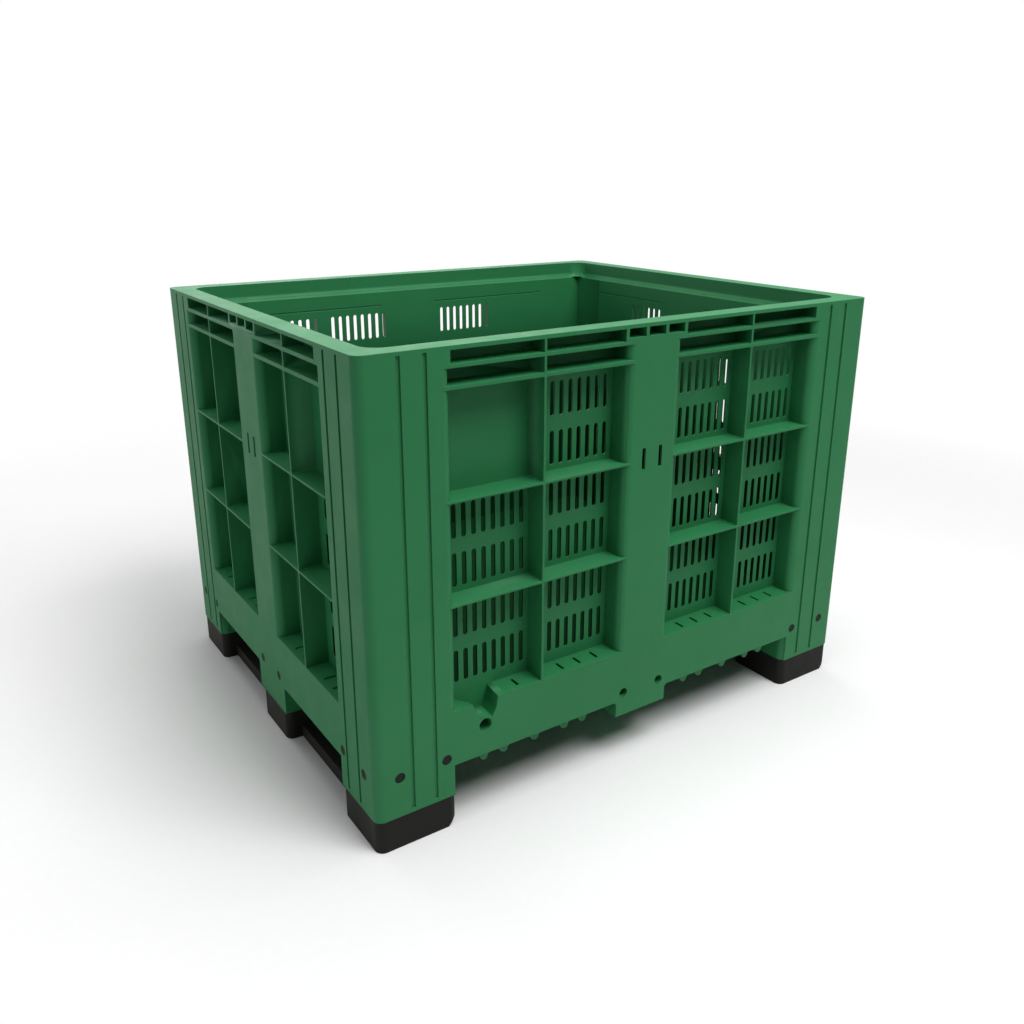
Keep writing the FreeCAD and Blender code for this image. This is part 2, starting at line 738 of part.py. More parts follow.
def opposite(source, label):
    """Copy turned half way round the middle of the bin: mirrored through both planes."""
    halfway = mirror(source, f"{label}_halfway", ACROSS)
    parts.append(mirror(halfway, label, ALONG))


def draw_rib_section(sketch, middle):
    """Section of a rib under the floor, with its lower edge rounded off by two chamfers."""
    outer = "(Sizes.rib_width / 2)"
    low = "Sizes.rib_level"
    cut = "Sizes.rib_chamfer"
    draw_polygon(sketch, [
        (f"{middle} - {outer}", FLOOR_UNDER),
        (f"{middle} - {outer}", f"{low} + {cut}"),
        (f"{middle} - {outer} + {cut}", low),
        (f"{middle} + {outer} - {cut}", low),
        (f"{middle} + {outer}", f"{low} + {cut}"),
        (f"{middle} + {outer}", FLOOR_UNDER),
    ])


def make_ribs(body, name, plane, offset, tunnel, spread, length, **how):
    """Ribs on both fork tunnels of one direction, at the same spread about each tunnel."""
    sketch = new_sketch(body, f"{name}_section", plane, offset)
    draw_rib_section(sketch, f"(-{tunnel} - {spread})")
    feature = pad(body, sketch, name, length, **how)
    doc.recompute()
    runs = [("H_Axis", "2", f"2 * {tunnel}")]
    if spread != "0":
        runs.append(("H_Axis", "2", f"2 * {spread}"))
    repeat(body, feature, f"{name}_set", runs)


def make_floor():
    """Closed floor with ribs under both pairs of fork tunnels."""
    body = new_body("floor_deck")
    plate = new_sketch(body, "plate_outline", "XY", FLOOR_UNDER)
    across = f"(Sizes.bin_length / 2 - {SKIN_INNER})"
    along = f"(Sizes.bin_width / 2 - {SKIN_INNER})"
    draw_rectangle(plate, f"-{across}", across, f"-{along}", along)
    pad(body, plate, "plate", "Sizes.floor_thickness")
    doc.recompute()
    tunnel = "((Sizes.bin_length / 2 - Sizes.foot_long + Sizes.post_long / 2) / 2)"
    length = "Sizes.bin_width - 2 * Sizes.wall_thickness"
    for name, spread in (("far", "Sizes.rib_far"), ("near", "Sizes.rib_near"), ("mid", "0")):
        make_ribs(body, f"long_{name}", "XZ", "0", tunnel, spread, length, middle=True)
    outer = "(Sizes.bin_length / 2 - Sizes.wall_thickness)"
    stop = f"({tunnel} + Sizes.rib_far + Sizes.rib_width / 2)"
    length = f"{outer} - {stop}"
    tunnel = "((Sizes.bin_width / 2 - Sizes.foot_short + Sizes.foot_middle / 2) / 2)"
    spreads = (("far", "Sizes.rib_far_short"), ("near", "Sizes.rib_near_short"), ("mid", "0"))
    for name, spread in spreads:
        make_ribs(body, f"left_{name}", "YZ", f"-{outer}", tunnel, spread, length)
        make_ribs(body, f"right_{name}", "YZ", outer, tunnel, spread, length, reverse=True)


def make_runner():
    """Left runner: three pads on a flat bar, each with a spigot that clips into a foot."""
    left = "(-Sizes.bin_length / 2)"
    front = "(-Sizes.bin_width / 2)"
    inset = "Sizes.pad_inset"
    middle = f"(Sizes.foot_middle / 2 - {inset})"
    outer = f"(Sizes.bin_width / 2 - {inset})"
    near = f"(Sizes.bin_width / 2 - Sizes.foot_short + {inset})"
    cut = "Sizes.pad_chamfer"
    rise = "Sizes.pad_chamfer_rise"
    top = "Sizes.runner_height"
    body = new_body("left_runner")
    profile = new_sketch(body, "pad_profiles", "YZ", f"{left} + {inset}")
    for sign in ("-", ""):
        draw_polygon(profile, [
            (f"{sign}{outer}", "0"),
            (f"{sign}({near} + {cut})", "0"),
            (f"{sign}{near}", rise),
            (f"{sign}{near}", top),
            (f"{sign}{outer}", top),
        ])
    draw_polygon(profile, [
        (f"-({middle} - {cut})", "0"),
        (f"{middle} - {cut}", "0"),
        (middle, rise),
        (middle, top),
        (f"-{middle}", top),
        (f"-{middle}", rise),
    ])
    bar = new_sketch(body, "bar_outline", "XY", "0")
    bar_left = f"({left} + Sizes.bar_inset)"
    half = "(Sizes.bin_width / 2 - Sizes.foot_short / 2)"
    draw_rectangle(bar, bar_left, f"{bar_left} + Sizes.bar_width", f"-{half}", half)
    pad(body, bar, "bar", "Sizes.bar_height")
    doc.recompute()
    pad(body, profile, "pads", f"Sizes.foot_long - 2 * {inset}")
    ends = [(f"{left} + {inset}", f"-{outer}"), (f"{left} + {inset}", outer)]
    round_uprights(body, "corners", ends, f"Sizes.corner_radius - {inset}")
    add_spigots(body, left, front)
    return body


def add_spigots(body, left, front):
    """Hollow spigots on the pads, and the square lugs that snap into the foot holes."""
    fit = "(Sizes.wall_thickness + Sizes.spigot_clearance)"
    wall = "Sizes.spigot_wall"
    corner_spans = [(f"({front} + {fit})", f"({front} + Sizes.foot_short - {fit})")]
    corner_spans.append((f"(-{corner_spans[0][1]})", f"(-{corner_spans[0][0]})"))
    half = f"(Sizes.foot_middle / 2 - {fit})"
    spans = corner_spans + [(f"(-{half})", half)]
    frames = new_sketch(body, "spigot_outlines", "XY", "Sizes.runner_height")
    for low, high in spans:
        near = f"({left} + {fit})"
        far = f"({left} + Sizes.foot_long - {fit})"
        draw_rectangle(frames, near, far, low, high)
        draw_rectangle(
            frames, f"{near} + {wall}", f"{far} - {wall}", f"{low} + {wall}", f"{high} - {wall}"
        )
    pad(body, frames, "spigots", "Sizes.spigot_top - Sizes.runner_height")
    doc.recompute()
    size = "Sizes.lug_size"
    low = f"(Sizes.hole_level - {size} / 2)"
    length = f"{fit} + {wall} / 2 - Sizes.lug_depth"
    side_places = ["Sizes.hole_spacing / 2", "-Sizes.hole_spacing / 2"]
    end_places = []
    for step in range(2):
        place = f"({front} + Sizes.hole_first_short + {step} * Sizes.hole_spacing_short)"
        side_places += [place, f"-{place}"]
        end_places.append(f"({left} + Sizes.hole_first_long + {step} * Sizes.hole_spacing)")
    faces = {
        "side_lugs": ("YZ", f"{left} + Sizes.lug_depth", side_places, False),
        "front_lugs": ("XZ", f"-{front} - Sizes.lug_depth", end_places, True),
        "back_lugs": ("XZ", f"{front} + Sizes.lug_depth", end_places, False),
    }
    for name, (plane, offset, places, flip) in faces.items():
        outlines = new_sketch(body, f"{name}_outlines", plane, offset)
        for place in places:
            near = f"({place} - {size} / 2)"
            draw_rectangle(outlines, near, f"{near} + {size}", low, f"{low} + {size}")
        pad(body, outlines, name, length, reverse=flip)
        doc.recompute()


def check_and_export():
    """Stop at the first failed feature or bad solid, then write one file for each sub-part."""
    doc.recompute()
    for item in doc.Objects:
        if "Invalid" in item.State or "Error" in item.State:
            raise RuntimeError(f"{item.Name} failed: {item.State}")
    os.makedirs("parts", exist_ok=True)
    for item in parts:
        shape = item.Shape
        if shape.isNull() or not shape.isValid():
            raise RuntimeError(f"{item.Label} has no valid shape")
        print(item.Label, len(shape.Solids), round(shape.Volume / 1000), "cm3")
    for item in parts:
        item.Shape.exportStep(f"parts/{item.Label}.step")


sheet = fill_sheet()
make_floor()
for side_key in SIDES:
    make_centre_post(side_key)
    make_rim_rail(side_key)
    make_apron(side_key)
    make_foot(side_key)
make_centre_foot()
make_drain_boss()
cut_drain_hole(make_wall("front"))
make_wall("back")
opposite(make_wall("left"), "right_wall")

front_left = make_corner_post()
parts.append(mirror(front_left, "front_right_corner_post", ACROSS))
parts.append(mirror(front_left, "back_left_corner_post", ALONG))
opposite(front_left, "back_right_corner_post")
parts.append(mirror(make_runner(), "right_runner", ACROSS))
check_and_export()
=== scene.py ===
"""Looks of the ventilated fruit bin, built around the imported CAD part. Metres, row frame.

Pieces of a side are made in the place of the front side, then turned about Z to their own.
"""
import math

import bmesh
import bpy
from mathutils import Matrix, Vector


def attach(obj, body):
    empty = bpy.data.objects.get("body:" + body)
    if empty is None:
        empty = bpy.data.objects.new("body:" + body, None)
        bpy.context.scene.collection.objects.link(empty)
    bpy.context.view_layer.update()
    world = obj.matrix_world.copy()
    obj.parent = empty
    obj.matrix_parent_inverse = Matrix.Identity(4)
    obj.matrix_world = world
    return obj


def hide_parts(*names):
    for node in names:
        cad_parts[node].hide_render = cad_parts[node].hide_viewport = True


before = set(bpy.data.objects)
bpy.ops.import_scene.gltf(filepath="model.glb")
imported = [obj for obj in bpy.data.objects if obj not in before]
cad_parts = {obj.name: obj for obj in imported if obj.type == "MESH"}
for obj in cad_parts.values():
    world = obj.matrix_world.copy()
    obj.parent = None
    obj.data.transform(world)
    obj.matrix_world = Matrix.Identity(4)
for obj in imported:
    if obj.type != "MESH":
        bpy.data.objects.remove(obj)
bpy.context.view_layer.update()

RUNNERS = ("left_runner", "right_runner")
TURNS = {"front": 0, "back": 180, "left": -90, "right": 90}
KINDS = {"front": "long", "back": "long", "left": "short", "right": "short"}
HALF = {"long": 0.6, "short": 0.5}
CORNER = {"long": 0.165, "short": 0.151}
QUARTERS = ((-1, -1), (-1, 1), (1, -1), (1, 1))

# mesh work: angles in degrees
WELD = 2e-6
OVERLAP = 0.001
ARC_STEPS = 6
CIRCLE_STEPS = 40
FLAT_ANGLE = 0.1
EDGE_ANGLE = 20
SHARP_ANGLE = 32
NORMAL_WEIGHT = 90
MIRROR_X = Matrix.Scale(-1, 4, (1, 0, 0))

# mouldings
PLATE = 0.005
SKIN = 0.0035
CELL_RIB = 0.0045
LEDGE = 0.004
JUNCTION_RADIUS = 0.003
POST_EDGE = 0.014

# levels of the ribs across the windows
LEDGE_LEVELS = (0.438, 0.627)
RIM_RIB = (0.8185, 0.8255)

# ventilation slots, and the creases over them on the inner faces
TIERS = 3
TIER_ROWS = 2
SLOT_WIDTH = 0.0095
SLOT_HEIGHT = 0.064
SLOT_PITCH = 0.0202
SLOT_LEVEL = 0.2635
SLOT_ROW_PITCH = 0.091
TIER_PITCH = 0.189
SLOT_MARGIN = 0.0212
SLOT_SHIFT = {"front": 0.006, "back": -0.006, "left": 0.012, "right": 0.012}
BLANK_CELL = {"front": 0, "back": 0, "left": 3, "right": 3}
CREASE_LEVELS = (0.8135, 0.816)
CREASE_DEPTH = 0.0012
CREASE_ENDS = (0.02, 0.005)

# drain: its place, and the outlines of its scoop from the left top round to the right top
DRAIN = (-0.376, 0.188)
DRAIN_RADIUS = 0.013
HOOD_RADIUS = 0.017
DRAIN_BLOCK = (-0.435, -0.332)
DRAIN_UNDER = 0.16
SCOOP_FRONT = ((-0.406, 0.25), (-0.392, 0.204), (-0.361, 0.2), (-0.352, 0.217), (-0.348, 0.25))
SCOOP_REAR = ((-0.436, 0.25), (-0.404, 0.204), (-0.358, 0.2), (-0.346, 0.217), (-0.342, 0.25))

# reach of the inner faces, and painted shade on them from the floor up, deepening downwards
# between two levels
INNER_REACH = (0.5525, 0.4525)
FLOOR_LEVEL = 0.172
PAINTED_SHADE_LEVELS = (0.52, 0.79)
# reflection left where the painted shade is full
PAINTED_SHADE_SPECULAR = 0.02

# lower edge of the aprons
APRON_BOTTOM = 0.127
SKIRT_TOP = 0.16
RIB_BOTTOM = 0.103
RIB_HALF = 0.011
RIB_ROUND = 0.0095
RIB_STEPS = 5
RIB_SETBACK = 0.016
FILLET = 0.008

# grooves of the corner columns
GROOVE_WIDTH = 0.0076
GROOVE_DEPTH = 0.0032
GROOVE_LEVELS = (0.073, 0.883)
GROOVES = {"long": (0.0725, 0.119), "short": (0.065, 0.114)}

# sloped step inside the rim: growth of the opening, level
INNER_RADIUS = 0.036
STEP_LEVELS = ((-0.0005, 0.8485), (-0.0005, 0.852), (0.005, 0.8625), (0.005, 0.9))
GUSSET_LEVELS = (0.8495, 0.864)

# feet and runners
RUNNER_TOP = 0.065
FOOT_RADIUS = 0.018
FOOT_WALL = {"long": 0.158, "short": 0.143}
PAD_INSET = 0.002
PAD_CHAMFER = 0.021
BAR_INSET = 0.033
BAR_WIDTH = 0.092
BAR_HEIGHT = 0.028

# snap holes
HOLE_LEVEL = 0.144
HOLE_RADIUS = 0.01
HOLE_SPACING = 0.094
CORNER_HOLES = {"long": (0.048, 0.142), "short": (0.045, 0.133)}
COLLAR = 0.0025
SOCKET_DEPTH = 0.016
LUG_RADIUS = 0.0092
LUG_DEPTH = 0.0012
LUG_LENGTH = 0.008

# plastics: noises as scale, detail, roughness; ramps as their ends, then the values there
CLOUD_NOISE = (3.2, 4.0, 0.55)
FLOW_NOISE = (14.0, 5.0, 0.6)
SPECKLE_NOISE = (420.0, 2.0, 0.6)
CLOUD_RAMP = (0.35, 0.68, 0.0, 1.0)
EDGE_RAMP = (0.99, 0.8, 0.0, 1.0)
PATCH_RAMP = (0.42, 0.66, 0.15, 1.0)
DUST_RAMP = (0.62, 0.8, 0.0, 0.12)
ROUGH_SPAN = (0.3, 0.7)
SMOOTHER, ROUGHER = 0.05, 0.07
SOFT_SAMPLES = 6
SOFT_RADIUS = 0.0016
SPECKLE_DEPTH = 0.0004
WAVE_STRENGTH = 0.25
WAVE_DEPTH = 0.003

# studio: white floor under the bin, lamps as place, aim, size and power
FLOOR_RADIUS = 9
FLOOR_SEGMENTS = 64
FLOOR_DROP = 0.0005
FLOOR_FADE = (1.3, 2.8, 0.0, 1.0)
PAPER_SCALE = 60.0
PAPER_TONES = ((0.85, 0.85, 0.85), (0.88, 0.88, 0.88))
WHITE = (1, 1, 1, 1)
WORLD_STRENGTH = 0.08
LAMPS = {
    "key_light": ((0.6, -2.5, 4.4), (0, 0, 0.5), (2.2, 2.2), 158),
    "top_light": ((0.2, -0.4, 4.3), (0, 0, 0.4), (3.0, 3.0), 112),
    "left_light": ((-4.4, -0.6, 2.2), (0, 0, 0.5), (2.6, 2.6), 24),
    "back_light": ((0.2, 4.6, 2.0), (0, 0, 0.6), (6.5, 2.4), 120),
}

# camera at the photograph's viewing angle
CAMERA_PLACE = Vector((-1.1733, -1.7737, 1.1575))
CAMERA_AZIMUTH = math.radians(34.06)
CAMERA_DOWN = math.radians(18.07)
CAMERA_ROLL = math.radians(0.1)
FOCAL_PIXELS = 947.98
CENTRE_PIXELS = (515.03, 474.7)
PICTURE_PIXELS = 1024
SENSOR = 36


def turned(key):
    """Turn from the front side's place to a side's own place."""
    return Matrix.Rotation(math.radians(TURNS[key]), 4, "Z")


def side_box(key, part):
    """Lowest and highest corner of a side's node, turned back to the front side's place."""
    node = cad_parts[f"{key}_{part}"]
    back = turned(key).inverted() @ node.matrix_world
    points = [back @ vertex.co for vertex in node.data.vertices]
    low = Vector([min(point[i] for point in points) for i in range(3)])
    high = Vector([max(point[i] for point in points) for i in range(3)])
    return low, high


def rounded(corners):
    """Outline with each square corner (across, up, radius) rounded by an arc."""
    points = []
    count = len(corners)
    for index, (across, up, radius) in enumerate(corners):
        tip = Vector((across, up))
        if radius == 0:
            points.append(tuple(tip))
            continue
        before = (Vector(corners[index - 1][:2]) - tip).normalized()
        after = (Vector(corners[(index + 1) % count][:2]) - tip).normalized()
        centre = tip + radius * (before + after)
        for step in range(ARC_STEPS + 1):
            angle = math.pi / 2 * step / ARC_STEPS
            out = -after * math.cos(angle) - before * math.sin(angle)
            points.append(tuple(centre + radius * out))
    return points


def flipped(corners, middle=0):
    """Mirror image of an outline's corners, left for right about a middle."""
    return [(2 * middle - across, up, radius) for across, up, radius in reversed(corners)]


def box_outline(left, right, low, high, radius=0.0):
    """Rectangle with its corners rounded alike."""
    corners = [(left, low), (right, low), (right, high), (left, high)]
    return rounded([(across, up, radius) for across, up in corners])


def circle_outline(across, up, radius):
    """Circle as an outline."""
    angles = [2 * math.pi * step / CIRCLE_STEPS for step in range(CIRCLE_STEPS)]
    return [(across + radius * math.cos(a), up + radius * math.sin(a)) for a in angles]


def slot_outline(middle, low, high, width):
    """Upright slot with round ends."""
    radius = width / 2
    points = []
    for centre, start in ((low + radius, math.pi), (high - radius, 0)):
        for step in range(ARC_STEPS + 1):
            angle = start + math.pi * step / ARC_STEPS
            points.append((middle + radius * math.cos(angle), centre + radius * math.sin(angle)))
    return points


def link(name, mesh):
    """Object around a mesh, in the scene."""
    piece = bpy.data.objects.new(name, mesh)
    bpy.context.scene.collection.objects.link(piece)
    return piece


def weld(mesh):
    """Join the points that lie on one another."""
    form = bmesh.new()
    form.from_mesh(mesh)
    bmesh.ops.remove_doubles(form, verts=form.verts, dist=WELD)
    form.to_mesh(mesh)
    form.free()


def slab(outline, holes, near, far, place):
    """Plate between two depths of an outline's plane, with holes through it."""
    curve = bpy.data.curves.new("slab", "CURVE")
    curve.dimensions = "2D"
    curve.fill_mode = "BOTH"
    curve.extrude = (far - near) / 2
    for points in [outline, *holes]:
        spline = curve.splines.new("POLY")
        spline.points.add(len(points) - 1)
        for point, (across, up) in zip(spline.points, points):
            point.co = (across, up, 0, 1)
        spline.use_cyclic_u = True
    holder = bpy.data.objects.new("slab", curve)
    mesh = bpy.data.meshes.new_from_object(holder)
    bpy.data.objects.remove(holder)
    mesh.transform(place @ Matrix.Translation((0, 0, (near + far) / 2)))
    weld(mesh)
    return link("slab", mesh)


def plate(key, outline, holes, near, far):
    """Upright plate of a side: depths run inwards along Y."""
    raise_up = Matrix.Rotation(math.radians(90), 4, "X")
    return slab(outline, holes, -far, -near, turned(key) @ raise_up)


def rod(key, across, up, radius, near, far):
    """Round rod square to a side, between two depths."""
    return plate(key, circle_outline(across, up, radius), [], near, far)


def loft(outlines):
    """Closed form through outlines of equal numbers of points."""
    form = bmesh.new()
    rings = [[form.verts.new(point) for point in outline] for outline in outlines]
    for low, high in zip(rings, rings[1:]):
        for index, corner in enumerate(low):
            form.faces.new((low[index - 1], corner, high[index], high[index - 1]))
    form.faces.new(reversed(rings[0]))
    form.faces.new(rings[-1])
    bmesh.ops.recalc_face_normals(form, faces=form.faces)
    mesh = bpy.data.meshes.new("loft")
    form.to_mesh(mesh)
    form.free()
    return link("loft", mesh)


def combine(base, others, operation):
    """Base joined with or cut by other pieces, as one closed surface."""
    group = bpy.data.collections.new("tools")
    for other in others:
        group.objects.link(other)
    change = base.modifiers.new("combine", "BOOLEAN")
    change.operation = operation
    change.operand_type = "COLLECTION"
    change.collection = group
    change.solver = "MANIFOLD"
    bpy.context.view_layer.update()
    result = base.evaluated_get(bpy.context.evaluated_depsgraph_get())
    mesh = bpy.data.meshes.new_from_object(result)
    bpy.data.collections.remove(group)
    for used in [base, *others]:
        bpy.data.objects.remove(used)
    return link("combined", mesh)


def cad_copy(name):
    """Welded copy of a CAD node's shape."""
    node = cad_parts[name]
    mesh = node.data.copy()
    mesh.transform(node.matrix_world)
    weld(mesh)
    return link(f"{name}_copy", mesh)


def round_edges(piece, wanted, radius, segments):
    """Round the edges whose two ends satisfy a test."""
    form = bmesh.new()
    form.from_mesh(piece.data)
    edges = [
        edge for edge in form.edges
        if edge.calc_face_angle(0) > math.radians(EDGE_ANGLE)
        and wanted(edge.verts[0].co, edge.verts[1].co)
    ]
    bmesh.ops.bevel(
        form, geom=edges, offset=radius, segments=segments, profile=0.5, affect="EDGES"
    )
    form.to_mesh(piece.data)
    form.free()


def mirror(piece):
    """Turn a piece into its mirror image, left for right."""
    piece.data.transform(MIRROR_X)
    piece.data.flip_normals()


def smooth(piece):
    """Flat surfaces as single faces, round ones shaded smooth, corners kept."""
    form = bmesh.new()
    form.from_mesh(piece.data)
    bmesh.ops.dissolve_limit(
        form, angle_limit=math.radians(FLAT_ANGLE), verts=form.verts, edges=form.edges
    )
    form.to_mesh(piece.data)
    form.free()
    piece.data.shade_smooth()
    piece.data.set_sharp_from_angle(angle=math.radians(SHARP_ANGLE))
    change = piece.modifiers.new("weighted_normals", "WEIGHTED_NORMAL")
    change.keep_sharp = True
    change.weight = NORMAL_WEIGHT


def cells(key):
    """Left and right end of the four window cells of a side."""
    edge = side_box(key, "wall")[1].x
    post = side_box(key, "centre_post")[1].x
    width = (edge - post - CELL_RIB) / 2
    starts = (-edge, -edge + width + CELL_RIB, post, post + width + CELL_RIB)
    return [(start, start + width) for start in starts]


def slot_outlines(key):
    """Slots in the skin of a side, two rows in each window cell."""
    outlines = []
    for number, (left, right) in enumerate(cells(key)):
        count = round((right - left - SLOT_MARGIN) / SLOT_PITCH)
        row = (count - 1) * SLOT_PITCH
        first = (left + right - row) / 2 + SLOT_SHIFT[key]
        for tier in range(TIERS - 1 if number == BLANK_CELL[key] else TIERS):
            for line in range(TIER_ROWS):
                low = SLOT_LEVEL + tier * TIER_PITCH + line * SLOT_ROW_PITCH
                for step in range(count):
                    middle = first + step * SLOT_PITCH
                    outlines.append(slot_outline(middle, low, low + SLOT_HEIGHT, SLOT_WIDTH))
    return outlines


def make_skin(key):
    """Slotted skin behind the windows of a side."""
    low, high = side_box(key, "wall")
    holes = slot_outlines(key)
    if key == "front":
        holes.append(circle_outline(*DRAIN, DRAIN_RADIUS))
    return plate(key, box_outline(low.x, high.x, low.z, high.z), holes, high.y - SKIN, high.y)


def creases(key):
    """Thin level grooves in the inner face of a side, one over each panel's slots."""
    inner = side_box(key, "wall")[1].y
    panel = cells(key)
    spans = ((panel[0][0], panel[1][1]), (panel[2][0], panel[3][1]))
    pieces = []
    for left, right in spans:
        outline = box_outline(left + CREASE_ENDS[0], right - CREASE_ENDS[1], *CREASE_LEVELS)
        pieces.append(plate(key, outline, [], inner - CREASE_DEPTH, inner + OVERLAP))
    return pieces


def lattice_outline(middle, reach, low, high):
    """Upright rib with level ribs across it, their junctions rounded."""
    side = middle + CELL_RIB / 2
    bands = [(level, level + LEDGE) for level in LEDGE_LEVELS] + [RIM_RIB]
    right = [(side, low, 0)]
    for bottom, top in bands:
        right.append((side, bottom, JUNCTION_RADIUS))
        right.append((middle + reach, bottom, 0))
        right.append((middle + reach, top, 0))
        right.append((side, top, JUNCTION_RADIUS))
    right.append((side, high, 0))
    return rounded(right + flipped(right, middle))


def make_lattices(key):
    """Ledges and ribs in front of the skin, one lattice for each panel of a side."""
    low, high = side_box(key, "wall")
    sill = side_box(key, "apron")[1].z
    post = side_box(key, "centre_post")[1].x
    middle = (high.x + post) / 2
    reach = (high.x - post) / 2 + POST_EDGE
    pieces = []
    for sign in (-1, 1):
        outline = lattice_outline(sign * middle, reach, sill - OVERLAP, high.z + OVERLAP)
        pieces.append(plate(key, outline, [], low.y, high.y - SKIN + OVERLAP))
    return pieces


def make_skirt(key):
    """Lower edge of an apron, rounded where it meets the middle foot."""
    kind = KINDS[key]
    foot = side_box(key, "foot")[1].x
    foot_bottom = max(side_box(key, "foot")[0].z, RUNNER_TOP)
    foot_radius = FILLET if foot_bottom > RUNNER_TOP + OVERLAP else 0
    face = side_box(key, "apron")[0].y
    end = HALF[kind] - CORNER[kind] + PLATE
    right = [
        (foot, foot_bottom, foot_radius),
        (foot, APRON_BOTTOM, FILLET),
        (end, APRON_BOTTOM, 0),
        (end, SKIRT_TOP, 0),
    ]
    return plate(key, rounded(right + flipped(right)), [], face, face + PLATE)


def rib_setbacks(key):
    """Room in front of the ribs under the floor, which end behind the apron."""
    kind = KINDS[key]
    foot = side_box(key, "foot")[1].x
    face = side_box(key, "apron")[0].y
    end = HALF[kind] - CORNER[kind]
    low = RIB_BOTTOM - FILLET
    right = [(foot, low, 0), (end, low, 0), (end, APRON_BOTTOM, 0), (foot, APRON_BOTTOM, FILLET)]
    depths = (face - OVERLAP, face + RIB_SETBACK)
    return [plate(key, rounded(outline), [], *depths) for outline in (right, flipped(right))]


def grooves(key):
    """Upright grooves of the corner columns, down to the ends of the feet."""
    kind = KINDS[key]
    face = side_box(key, "apron")[0].y
    pieces = []
    for offset in GROOVES[kind]:
        for sign in (-1, 1):
            middle = sign * (HALF[kind] - offset)
            outline = box_outline(
                middle - GROOVE_WIDTH / 2, middle + GROOVE_WIDTH / 2, *GROOVE_LEVELS
            )
            pieces.append(plate(key, outline, [], face - OVERLAP, face + GROOVE_DEPTH))
    return pieces


def rim_opening():
    """Space inside the rim: a sloped step leads from the walls out to the flange."""
    rings = []
    for growth, level in STEP_LEVELS:
        across, along = (reach + growth for reach in INNER_REACH)
        outline = box_outline(-across, across, -along, along, INNER_RADIUS)
        rings.append([(*point, level) for point in outline])
    return loft(rings)


def rim_gussets():
    """Filling of the inner corners at the level of the rim's step."""
    pieces = []
    right, back = (reach + OVERLAP for reach in INNER_REACH)
    for sign_x, sign_y in QUARTERS:
        across = sorted((sign_x * (right - INNER_RADIUS), sign_x * right))
        along = sorted((sign_y * (back - INNER_RADIUS), sign_y * back))
        pieces.append(slab(box_outline(*across, *along), [], *GUSSET_LEVELS, Matrix()))
    return pieces


def make_drain():
    """Drain in the front sill: a scoop that narrows down to a hooded outlet."""
    face = side_box("front", "apron")[0].y
    rear = side_box("front", "wall")[1].y - SKIN
    sill = side_box("front", "apron")[1].z
    block = plate("front", box_outline(*DRAIN_BLOCK, DRAIN_UNDER, sill), [], face, rear)
    ends = ((SCOOP_FRONT, face - OVERLAP), (SCOOP_REAR, rear + OVERLAP))
    scoop = loft([[(across, depth, up) for across, up in outline] for outline, depth in ends])
    hollow = combine(block, [scoop], "DIFFERENCE")
    return combine(hollow, [rod("front", *DRAIN, HOOD_RADIUS, face, rear)], "UNION")


def hole_places(key):
    """Snap holes of a side: two in each corner foot, two in the middle."""
    kind = KINDS[key]
    corner = [HALF[kind] - place for place in CORNER_HOLES[kind]]
    return corner + [-place for place in corner], [-HOLE_SPACING / 2, HOLE_SPACING / 2]


def snap_holes(key):
    """Collars of a side's snap holes, and the cuts that open them. The middle holes of the
    long sides are blind.
    """
    face = side_box(key, "apron")[0].y
    corner, middle = hole_places(key)
    collars, cuts = [], []
    for place in corner + middle:
        blind = place in middle and KINDS[key] == "long"
        depth = SOCKET_DEPTH if blind else PLATE
        back = face + depth + (COLLAR if blind else 0)
        collars.append(rod(key, place, HOLE_LEVEL, HOLE_RADIUS + COLLAR, face, back))
        cuts.append(rod(key, place, HOLE_LEVEL, HOLE_RADIUS, face - OVERLAP, face + depth))
    return collars, cuts


def make_foot_ring(sign_x, sign_y):
    """Round-edged wall of a corner foot."""
    outer = box_outline(
        HALF["long"] - CORNER["long"], HALF["long"],
        HALF["short"] - CORNER["short"], HALF["short"], FOOT_RADIUS,
    )
    inner = box_outline(
        HALF["long"] - FOOT_WALL["long"] + PLATE, HALF["long"] - PLATE,
        HALF["short"] - FOOT_WALL["short"] + PLATE, HALF["short"] - PLATE, FOOT_RADIUS - PLATE,
    )
    outlines = [
        [(sign_x * across, sign_y * along) for across, along in outline]
        for outline in (outer, inner)
    ]
    return slab(outlines[0], outlines[1:], RUNNER_TOP, APRON_BOTTOM + OVERLAP, Matrix())


def floor_with_round_ribs():
    """Floor with the lower edges of its ribs rounded."""
    floor = cad_copy("floor_deck")

    def low_edge(first, second):
        level = abs(first.z - second.z) < WELD and first.z < APRON_BOTTOM
        along = abs(first.x - second.x) < WELD or abs(first.y - second.y) < WELD
        return level and along and (first - second).length > 2 * RIB_HALF

    round_edges(floor, low_edge, RIB_ROUND, RIB_STEPS)
    return floor


def make_body(body_nodes):
    """The moulding as one closed surface."""
    remade = ("floor_deck", "drain_boss", *(f"{key}_wall" for key in TURNS))
    pieces = [cad_copy(name) for name in body_nodes if name not in remade]
    pieces.extend([make_drain(), *rim_gussets()])
    collars, cuts = [], []
    for key in TURNS:
        pieces.extend([make_skin(key), *make_lattices(key), make_skirt(key)])
        side_collars, openings = snap_holes(key)
        collars.extend(side_collars)
        cuts.extend([*openings, *creases(key), *grooves(key), *rib_setbacks(key)])
    pieces.extend(make_foot_ring(*signs) for signs in QUARTERS)
    inner = side_box("front", "wall")[1].y
    cuts.append(rod("front", *DRAIN, DRAIN_RADIUS, -HALF["short"] - OVERLAP, inner + OVERLAP))
    cuts.append(rim_opening())
    body = combine(floor_with_round_ribs(), pieces + collars, "UNION")
    body = combine(body, cuts, "DIFFERENCE")
    body.name = "bin_body"
    return body


